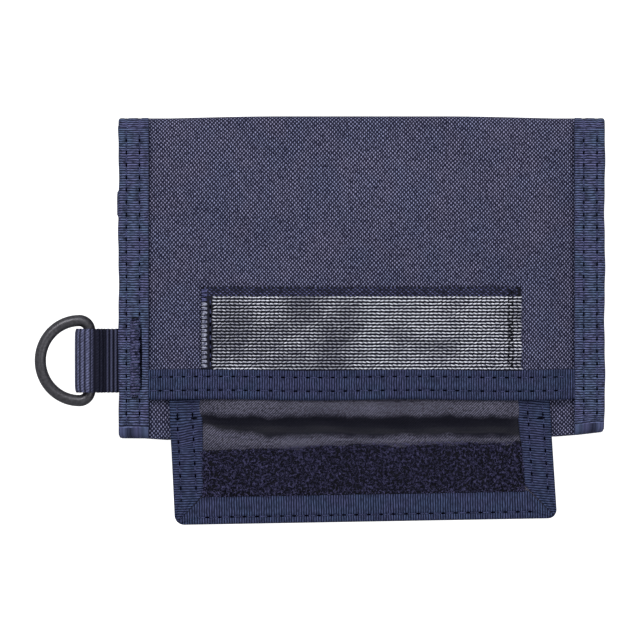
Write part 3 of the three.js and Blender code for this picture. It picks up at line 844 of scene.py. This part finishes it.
def make_flap_cloth():
    x, y = flap_grid(-26.0, 1.0, 0.8, 90, 110)
    top = np.dstack([x, y, lining_height(x, y)])
    inner = top.copy()
    inner[..., 2] -= 0.3
    follow_flap(sheet("flap_lining_cloth", top, inner, np.dstack([x, y]), FLAP_LINING_SHADED, slot="navy_lining",
                      replaces=("flap_lining",)))
    x, y = flap_grid(-24.0, 0.7, 0.7, 40, 60)
    top = np.dstack([x, y, np.full_like(x, flap_shell_high[2] - 0.3)])
    under = top.copy()
    under[..., 2] = flap_shell_low[2] - 0.1
    follow_flap(sheet("flap_shell_cloth", top, under, np.dstack([x, y]), CLOTH_UV, slot="navy_cloth",
                      replaces=("flap_shell", "flap_root")))


def corner_cut(distance):
    """How far a rounded corner draws an edge in, at a distance from the corner along that edge."""
    short = np.clip(CORNER_R - distance, 0, CORNER_R)
    return CORNER_R - math.sqrt(max(CORNER_R ** 2 - short ** 2, 0))


def flap_tape(name, start, end, inward, reach, mitre, top, rows, bends, replaces):
    """Tape on one side of the flap. mitre says which ends are cut on the slant: (start, end)."""
    start, end = np.asarray(start, float), np.asarray(end, float)
    inward = np.asarray(inward, float) / np.linalg.norm(inward)
    total = np.linalg.norm(end - start)
    # A mitred end stops half way round its rounded corner, where it meets the next tape.
    half_way = CORNER_R * (1 - math.sqrt(0.5))
    first, last = half_way * mitre[0], total - half_way * mitre[1]
    stations = np.unique(np.concatenate([xs_between(first, last, 0.6), xs_between(first, first + 2.4, 0.2),
                                         xs_between(last - 2.4, last, 0.2)]))
    depth = FLAP_TOP - flap_end_low[2]
    points, uvs = [], []
    for s in stations:
        width = reach[0] + (reach[1] - reach[0]) * s / total
        profile = tape_profile(depth, reach=width, thickness=0.4, rows=rows, far_rows=rows, radius=0.7)
        around = lengths(profile)
        base = start + (end - start) * s / total
        near = min(s if mitre[0] else 99, total - s if mitre[1] else 99)
        scale = min(1.0, near / width)
        cut = corner_cut(near)
        for (inset, drop), round_it in zip(profile, around):
            x, y = base + inward * (inset * scale + cut * (1 - inset / width))
            points.append((x, y, top(y) - drop))
            uvs.append((round_it, s))
    points = np.array(points).reshape(len(stations), -1, 3)
    follow_flap(tube(name, points, np.array(uvs), TAPE_DARK, slot="navy_tape", replaces=replaces), bends)
    for r, inset in enumerate(rows):
        a = start + (end - start) * 0.02 + inward * inset
        b = end + (start - end) * (inset / total) + inward * inset
        row = [(x, y, top(y) + 0.1 - GROOVE) for x, y in a + np.linspace(0, 1, 60)[:, None] * (b - a)]
        for thread in stitches(f"{name}_stitches_{r + 1}", row, UP):
            follow_flap(thread, bends)


def make_flap_tapes():
    def side_top(y):
        return FLAP_TOP + 0.2 * ease((y + 41) / 4) - 0.55 * ease((y - FLAP_STEP_Y) / 0.5)

    (x0, y0), (x1, y1) = FLAP_CORNERS
    top_left, top_right = (flap_side_low[0], FLAP_START_Y), (root_high[0], FLAP_START_Y)
    flap_tape("flap_tape_left", top_left, (x0, y0), (1, 0.03), (8.3, 7.3), (False, True), side_top,
              (1.9, 5.7), True, ("flap_binding_left",))
    flap_tape("flap_tape_right", top_right, (x1, y1), (-1, 0.08), (8.4, 7.4), (False, True), side_top,
              (1.9, 5.7), True, ("flap_binding_right",))
    flap_tape("flap_tape_end", (x0, y0), (x1, y1), (-(y1 - y0), x1 - x0), (FLAP_END_REACH,) * 2, (True, True),
              lambda y: FLAP_TOP - 0.12, (1.8,), False, ("flap_binding_end",))
    # Painted shadow: near-black beads along the step where the side tapes' turned ends lie on the hinge cloth.
    crease_shadows = []
    z = side_top(FLAP_STEP_Y) - 0.5
    for outer, way in ((flap_left(FLAP_STEP_Y), 1), (flap_right(FLAP_STEP_Y), -1)):
        for ends in ((0.8, 3.6), (3.2, 5.6), (5.2, 7.6)):
            crease_shadows.append([(outer + way * t, FLAP_STEP_Y + 0.35 + 0.2 * math.sin(t * 1.7), z) for t in ends])
    follow_flap(beads("flap_tape_crease_shadows", crease_shadows, UP, 0.24, HOLE_AND_SHADOW, slot="navy_tape"))


def pile_points(places, height, radius, length):
    """Small random loops standing on places, each (x, y, z)."""
    points, faces, uvs = [], [], []
    steps, sides = 5, 4
    for x, y, z in places:
        turn = rng.uniform(0, math.pi)
        reach = length * rng.uniform(0.6, 1.2)
        rise = height * rng.uniform(0.5, 1.15)
        lean_x, lean_y = rng.normal(0, 0.15, 2)
        way = np.array([math.cos(turn), math.sin(turn), 0])
        across = np.array([-way[1], way[0], 0])
        base = len(points)
        for i in range(steps):
            t = i / (steps - 1)
            arch = math.sin(math.pi * t)
            spot = np.array([x + lean_x * arch, y + lean_y * arch, z + rise * arch]) + way * reach * (t - 0.5)
            slope = math.cos(math.pi * t)
            out = np.array([0, 0, 1 - 0.4 * abs(slope)]) - way * slope * 0.7
            for j in range(sides):
                a = 2 * math.pi * j / sides
                points.append(spot + (across * math.cos(a) + out * math.sin(a)) * radius)
                uvs.append((j, t))
        grid = np.arange(base, base + steps * sides).reshape(steps, sides)
        faces += bridge(grid, close_columns=True, caps=True)
    return points, faces, uvs


def make_flap_loop():
    """The strip of loop tape, its pile standing on a dark base."""
    gap = FLAP_END_REACH - 0.3
    strip = 11.6
    side = 7.4
    u, v = np.meshgrid(np.linspace(0, 1, 60), np.linspace(0, 1, 16))

    def place(u, v):
        x = flap_left(-48) + side + u * (flap_right(-48) - flap_left(-48) - 2 * side)
        x = x + (flap_left(-53) - flap_left(-43)) * (v - 0.5)
        wander = 0.25 * np.sin(x * 0.11) + 0.12 * np.sin(x * 0.37)
        y = flap_end(x) + gap + (strip + wander + 1.2 * ease((x + 38) / 30)) * (1 - v)
        return x, y

    x, y = place(u, v)
    base_z = flap_lining_high[2] + 0.35
    top = np.dstack([x, y, base_z + 0.12 * np.sin(x * 0.9) * np.sin(y * 1.1)])
    under = np.dstack([x, y, np.full_like(x, flap_lining_high[2] + 0.02)])
    sheet("flap_loop_base", top, under, np.dstack([x, y]), PILE_BASE, body="coin_flap", slot="loop_tape",
          replaces=("flap_loop_strip",))
    us, vs = rng.uniform(0, 1, PILE_COUNT), rng.uniform(0.01, 0.99, PILE_COUNT)
    xs, ys = place(us, vs)
    points, faces, uvs = pile_points(zip(xs, ys, np.full(PILE_COUNT, base_z)), 0.55, 0.06, 0.5)
    piece("flap_loop_pile", points, faces, uvs, PILE, body="coin_flap", slot="loop_tape")


# ---- D-ring, its webbing and the bar tack ----
RING_Y = (ring_low[1] + ring_high[1]) / 2
TAB_Z = (ring_low[2] + ring_high[2]) / 2
WIRE_R = (ring_high[2] - ring_low[2]) / 2 * 1.06
BAR_X = ring_high[0] - WIRE_R
WEB_HALF = (webbing_high[1] - webbing_low[1]) / 2


def make_ring():
    """Round wire bent to a D: a straight bar, two tight corners and a bow."""
    corner, steps, sides = 2.6, 40, 24
    half = (ring_high[1] - ring_low[1]) / 2 - WIRE_R + 0.25
    bow_reach = BAR_X - corner - ring_low[0] - WIRE_R + 0.4
    line_points = []
    for cy, rx, ry, start, end in ((half - corner, corner, corner, 0, 90),
                                   (0, bow_reach, half, 90, 270),
                                   (corner - half, corner, corner, 270, 360)):
        for a in np.radians(np.linspace(start, end, steps, endpoint=False)):
            line_points.append((BAR_X - corner + rx * math.cos(a), RING_Y + cy + ry * math.sin(a)))
    bar = line([(BAR_X, RING_Y + corner - half), (BAR_X, RING_Y + half - corner)], 0.6)
    path = np.array(line_points + [tuple(p) for p in bar[:-1]])
    tangent = np.roll(path, -1, 0) - np.roll(path, 1, 0)
    tangent /= np.linalg.norm(tangent, axis=1)[:, None]
    out = np.stack([tangent[:, 1], -tangent[:, 0]], 1)
    turn = np.linspace(0, 2 * math.pi, sides, endpoint=False)
    points = np.zeros((len(path), sides, 3))
    points[..., :2] = path[:, None, :] + out[:, None, :] * (WIRE_R * np.cos(turn))[None, :, None]
    points[..., 2] = TAB_Z + WIRE_R * np.sin(turn)[None, :]
    tube("d_ring_wire", points, uv_grid(turn, np.arange(len(path))), WIRE, closed=True, body="ring",
         slot="ring_coat", replaces=("d_ring",))


def make_webbing():
    """Webbing from the edge tape to the bar, round it, and back beneath itself."""
    thick = 1.0
    wrap = webbing_high[2] - TAB_Z
    inside = anchor_high[0]
    neck = BAR_X + wrap * 0.95
    corners = [(inside, TAB_Z + 1.1), (neck + 0.9, TAB_Z + 1.15), (neck - 1.2, TAB_Z + wrap * 0.98)]
    turn = np.radians(np.linspace(80, 280, 40))
    arc = [(BAR_X + wrap * math.cos(a), TAB_Z + wrap * math.sin(a)) for a in turn]
    upper = rounded([corners[0], corners[1], corners[2], arc[0]], 0.9, step=0.13)
    lower = upper[::-1] * np.array([1, -1]) + np.array([0, 2 * TAB_Z])
    path = np.concatenate([upper[:-1], line(arc, 0.13), lower[1:]])
    path = path[np.concatenate([[True], np.linalg.norm(np.diff(path, axis=0), axis=1) > 1e-4])]
    n, along = normals(path), lengths(path)
    rib = 0.13 * np.abs(np.sin(np.pi * along / CORD))
    ys = xs_between(-WEB_HALF, WEB_HALF, 0.5)
    edge = 0.35 * (np.abs(ys) / WEB_HALF) ** 12
    across = RING_Y + ys[None, :] * (1 + 0.006 * np.sin(along * 6))[:, None]

    def face(sink):
        x, z = (path[:, k, None] + n[:, k, None] * sink for k in (0, 1))
        return np.dstack([x, across, z])

    outer, inner = face(edge[None, :] - rib[:, None]), face(thick - edge[None, :])
    made = sheet("ring_webbing_cloth", outer, inner, uv_grid(ys, along), WEBBING, slot="navy_webbing",
                 replaces=("ring_webbing", "ring_webbing_anchor"))
    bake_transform(made)


def make_bar_tack():
    """Close zigzag over the webbing's end, through the edge tape, with a knot at each end."""
    on_tape = {"body": "coin_panel", "slot": "thread"}
    z = coin_tape_high[2] + 0.12
    x0, x1 = tack_low[0] - 0.2, tack_high[0] + 0.2
    y0, y1 = tack_low[1] + 0.7, tack_high[1] + 0.9
    pairs = []
    for n, y in enumerate(np.arange(y0, y1, 0.36)):
        a, b = rng.normal(0, 0.12, 2)
        z_here = z + 0.06 * (n % 2)
        pairs.append(((x0 + a, y, z_here), (x1 + b, y + (0.36 if n % 2 else -0.2), z_here)))
    beads("ring_bar_tack_thread", pairs, UP, 0.2, TACK_THREAD, bow=0.16,
          replaces=("ring_bar_tack",), **on_tape)
    # Painted shadow: a near-black bead along the crease at the tack's right side.
    pull = [((x1 + 0.35, y0 - 0.2, z - 0.16), (x1 + 0.3, y1 + 0.2, z - 0.16))]
    beads("ring_bar_tack_crease_shadow", pull, UP, 0.26, HOLE_AND_SHADOW, rings=9, **on_tape)
    knots = []
    for y in (y0 - 0.2, y1 + 0.2):
        for k in range(3):
            knots.append(((x0 + 0.6 + 0.5 * k, y - 0.35, z), (x0 + 1.2 + 0.5 * k, y + 0.35, z)))
    beads("ring_bar_tack_knots", knots, UP, 0.26, PILE_BASE, bow=0.12, **on_tape)


# ---- Folds: outer cloth and tapes that run round them ----
def blend_at(made):
    """Bakes a piece's transform into its mesh."""
    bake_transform(made)


def make_fold_cloths():
    xs = xs_between(-INNER_X, INNER_X, 4)
    # Centre panel's underside, up the front spine. It turns up round the panel's other end.
    spine = FOLD_Y - 0.12  # just inside the coin panel's cloth, which it meets half way up
    under = rounded([(-FOLD_Y + 2.6, CENTRE_UNDER + 2.2), (-FOLD_Y + 2.6, CENTRE_UNDER),
                     (spine, CENTRE_UNDER), (spine, SPINE_MID)], 1.2)
    made = folded_cloth("centre_under_cloth", under, xs, 0.6, CLOTH_UV, slot="navy_cloth",
                        replaces=("centre_cloth",))
    blend_at(made)
    # Centre panel's upper lining, down the rear spine. It turns down round the panel's other end.
    over = rounded([(FOLD_Y - 2.6, CENTRE_TOP - 2.0), (FOLD_Y - 2.6, CENTRE_TOP),
                    (-spine, CENTRE_TOP), (-spine, REAR_SPINE_MID - 0.6)], 1.2)
    made = folded_cloth("centre_top_cloth", over, xs, 0.45, LINING_UV, slot="navy_lining",
                        replaces=("centre_lining",))
    blend_at(made)

    # Rear panel's outer cloth, from its turned free end, along the table and up the rear spine.
    def off_table(x, y):
        return 0.68 * ease((np.abs(x) - (TAPE_INNER - 1.8)) / 1.6)

    rear_top = box_mm("rear_lining")[1][2] + 0.15
    xs_fine = xs_between(-INNER_X, INNER_X, 1.2)
    outer = rounded([(-FOLD_Y, REAR_SPINE_MID + 0.6), (-FOLD_Y, 0.02), (FOLD_Y, 0.02),
                     (FOLD_Y, rear_top), (FOLD_Y - 6.5, rear_top)], 1.2)
    below = (outer[:, 1] < 1)[:, None]
    made = folded_cloth("rear_outer_cloth", outer, xs_fine, 0.7, CLOTH_UV,
                        lift=lambda x, y: off_table(x, y) * below,
                        slot="navy_cloth", replaces=("rear_shell", "rear_fold_cloth"))
    blend_at(made)


def make_fold_tapes():
    """Shallow tape round both corners of each spine, in line with the panels' own tapes."""
    cases = (
        # name, side, panel, spine, outer face at the panel, way to the spine, far end on the spine
        ("front_fold_upper_tape", 1, "coin_panel", "front_fold", coin_tape_high[2], -1, SPINE_MID),
        ("front_fold_lower_tape", 1, "centre_panel", "front_fold", centre_tape_low[2], 1, SPINE_MID),
        ("rear_fold_upper_tape", -1, "centre_panel", "rear_fold", centre_tape_high[2], -1, REAR_SPINE_MID),
        ("rear_fold_lower_tape", -1, "rear_panel", "rear_fold", rear_tape_low[2], 1, REAR_SPINE_MID),
    )
    profile = tape_profile(1.5, far_rows=(), radius=0.6)
    for name, fold, panel, spine, z, way, z_end in cases:
        stop = fold * (FOLD_Y + 0.2)
        z_face = z - 0.04 * way  # a little proud of the panel's own tape
        corners = [(fold * (FOLD_Y - 2.6), z_face), (stop, z_face), (stop, z_end)]
        path = rounded(corners, 2.3, step=0.6, arc_steps=12)
        if fold * way < 0:
            path = path[::-1]
        for word, side in SIDES:
            node = spine + "_binding_" + word
            made = tape_along(f"{name}_{word}", side, path, 1.5, profile=profile, ends=(False, False),
                              replaces=(node,) if "upper" in name else ())
            blend_at(made)


# ---- Inside the wallet ----
def sew(node, body, face, inset, edges, pitch=3.1):
    """Stitch rows along a flat node's edges. face is 1 on its upper side, -1 on its lower side."""
    low, high = box_mm(node)
    z = (high[2] if face > 0 else low[2]) + 0.05 * face
    x0, x1, y0, y1 = low[0] + inset, high[0] - inset, low[1] + inset, high[1] - inset
    rows = {"left": ((x0, y0), (x0, y1)), "right": ((x1, y0), (x1, y1)),
            "near": ((x0, y0), (x1, y0)), "far": ((x0, y1), (x1, y1))}
    for edge in edges:
        row = [(x, y, z) for x, y in line(rows[edge], 1.5)]
        stitches(f"{node}_{edge}_stitches", row, (0, 0, face), body, pitch=pitch, radius=0.14)


CLOSURE_LOOPS = 3600


def fill_closures():
    """Hooks and pile on the two closures that hold the wallet folded."""
    for node, body, face, kind in (
        ("front_closure_hook", "coin_panel", -1, "hook"),
        ("front_closure_loop", "centre_panel", 1, "loop"),
        ("rear_closure_hook", "rear_panel", 1, "hook"),
        ("rear_closure_loop", "centre_panel", -1, "loop"),
    ):
        low, high = box_mm(node)
        z = high[2] if face > 0 else low[2]
        if kind == "hook":
            rows = np.arange(low[1] + 1.3, high[1] - 1.0, 0.8)
            pairs = hook_pairs(rows, low[0] + 1.5, high[0] - 1.5, lambda x, y: z)
            beads(node + "_hooks", pairs, (0, 0, face), 0.16, HOOKS, rings=5, sides=5, bow=0.2,
                  body=body, slot="hook_tape")
        else:
            xs = rng.uniform(low[0] + 1.2, high[0] - 1.2, CLOSURE_LOOPS)
            ys = rng.uniform(low[1] + 1.0, high[1] - 1.0, CLOSURE_LOOPS)
            points, faces, uvs = pile_points(zip(xs, ys, np.zeros(CLOSURE_LOOPS)), 0.3, 0.06, 0.55)
            points = [(x, y, z + face * up) for x, y, up in points]
            piece(node + "_pile", points, faces, uvs, PILE, body=body, slot="loop_tape")
        sew(node, body, face, 0.55, ("left", "right", "near", "far"), pitch=2.6)


SEAMS = (
    # node, body, face, inset, edges
    ("id_window_frame", "coin_panel", -1, 0.9, ("left", "right", "near", "far")),
    ("centre_card_pocket_lower", "centre_panel", 1, 1.2, ("left", "right")),
    ("centre_card_pocket_upper", "centre_panel", 1, 1.2, ("left", "right", "far")),
    ("rear_card_pocket", "rear_panel", 1, 1.2, ("left", "right", "near")),
    ("rear_note_sleeve", "rear_panel", 1, 1.2, ("far",)),
)

# Materials of the nodes that are kept from the CAD.
REPAINTED = (
    (BOARD, ("coin_board", "centre_board", "rear_board")),
    (LINING_PLAN, ("rear_lining", "front_fold_lining", "rear_fold_lining",
                   "centre_note_sleeve", "rear_note_sleeve")),
    (CLOTH_PLAN, ("centre_card_pocket_lower", "centre_card_pocket_upper", "rear_card_pocket")),
    (TAPE_PLAN, ("id_window_frame",)),
    (FILM, ("id_window_film",)),
    (HOOK_BASE, ("front_closure_hook", "rear_closure_hook")),
    (PILE_BASE, ("front_closure_loop", "rear_closure_loop")),
)


def repaint():
    for material, nodes in REPAINTED:
        for node in nodes:
            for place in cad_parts[node].material_slots:
                place.material = material


# ---- Camera, light and floor: in metres ----
VIEW_CENTRE = (-0.0104, -0.0110)
VIEW_WIDTH = 0.160  # at the coin panel's face
CAMERA_HEIGHT = 1.0  # over that face
FLOOR_REACH = 3.0
FLOOR_DROP = 0.0002  # keeps the floor clear of the rear panel's cloth


def make_stage():
    """A camera straight above, two soft lamps and a white floor."""
    scene = bpy.context.scene
    scene.view_settings.view_transform = "Standard"
    camera = bpy.data.objects.new("camera", bpy.data.cameras.new("camera"))
    camera.data.lens = camera.data.sensor_width * CAMERA_HEIGHT / VIEW_WIDTH
    camera.location = (*VIEW_CENTRE, TOP_Z * MM + CAMERA_HEIGHT)
    scene.collection.objects.link(camera)
    scene.camera = camera
    world = bpy.data.worlds.new("studio")
    scene.world = world
    world.use_nodes = True
    sky = world.node_tree.nodes["Background"].inputs
    sky["Color"].default_value = (0.93, 0.96, 1.0, 1)
    sky["Strength"].default_value = 0.5

    def softbox(name, place, size, power):
        data = bpy.data.lights.new(name, "AREA")
        data.shape = "RECTANGLE"
        data.size, data.size_y = size
        data.energy = power
        lamp = bpy.data.objects.new(name, data)
        lamp.location = place
        lamp.rotation_euler = (-lamp.location).to_track_quat("-Z", "Y").to_euler()
        scene.collection.objects.link(lamp)

    softbox("key", (-0.25, 0.45, 0.75), (0.5, 0.35), 5)
    softbox("fill", (0.45, -0.2, 0.7), (0.5, 0.5), 1.6)

    floor_mesh = bpy.data.meshes.new("floor")
    corners = [(x * FLOOR_REACH, y * FLOOR_REACH, 0) for x, y in ((-1, -1), (1, -1), (1, 1), (-1, 1))]
    floor_mesh.from_pydata(corners, [], [(0, 1, 2, 3)])
    floor = bpy.data.objects.new("floor", floor_mesh)
    paper = Shader("white_paper", roughness=0.9, specular=0.1)
    # The floor looks white to the camera, and throws back as little light as paper far below would.
    paper.set("Base Color", (0.42, 0.42, 0.43, 1))
    paper.set("Emission Color", (1, 1, 1, 1))
    paper.set("Emission Strength", paper.node("ShaderNodeLightPath", {}).outputs["Is Camera Ray"])
    floor_mesh.materials.append(paper.material)
    scene.collection.objects.link(floor)
    floor.location.z = -FLOOR_DROP


make_coin_face()
make_coin_back()
make_coin_lining()
panel_tapes("coin", coin_tape_low, coin_tape_high, coin_tape_low[1], FOLD_Y - 2, (False, True))
mouth_tape()
make_hook_strip()
make_flap_cloth()
make_flap_tapes()
make_flap_loop()
make_ring()
make_webbing()
make_bar_tack()
make_fold_cloths()
make_fold_tapes()
panel_tapes("centre", centre_tape_low, centre_tape_high, -FOLD_Y + 2, FOLD_Y - 2, (False, False), bulge=0.75)
panel_tapes("rear", rear_tape_low, rear_tape_high, -FOLD_Y + 2, FOLD_Y, (True, False))
fill_closures()
for seam in SEAMS:
    sew(*seam)
repaint()
make_stage()
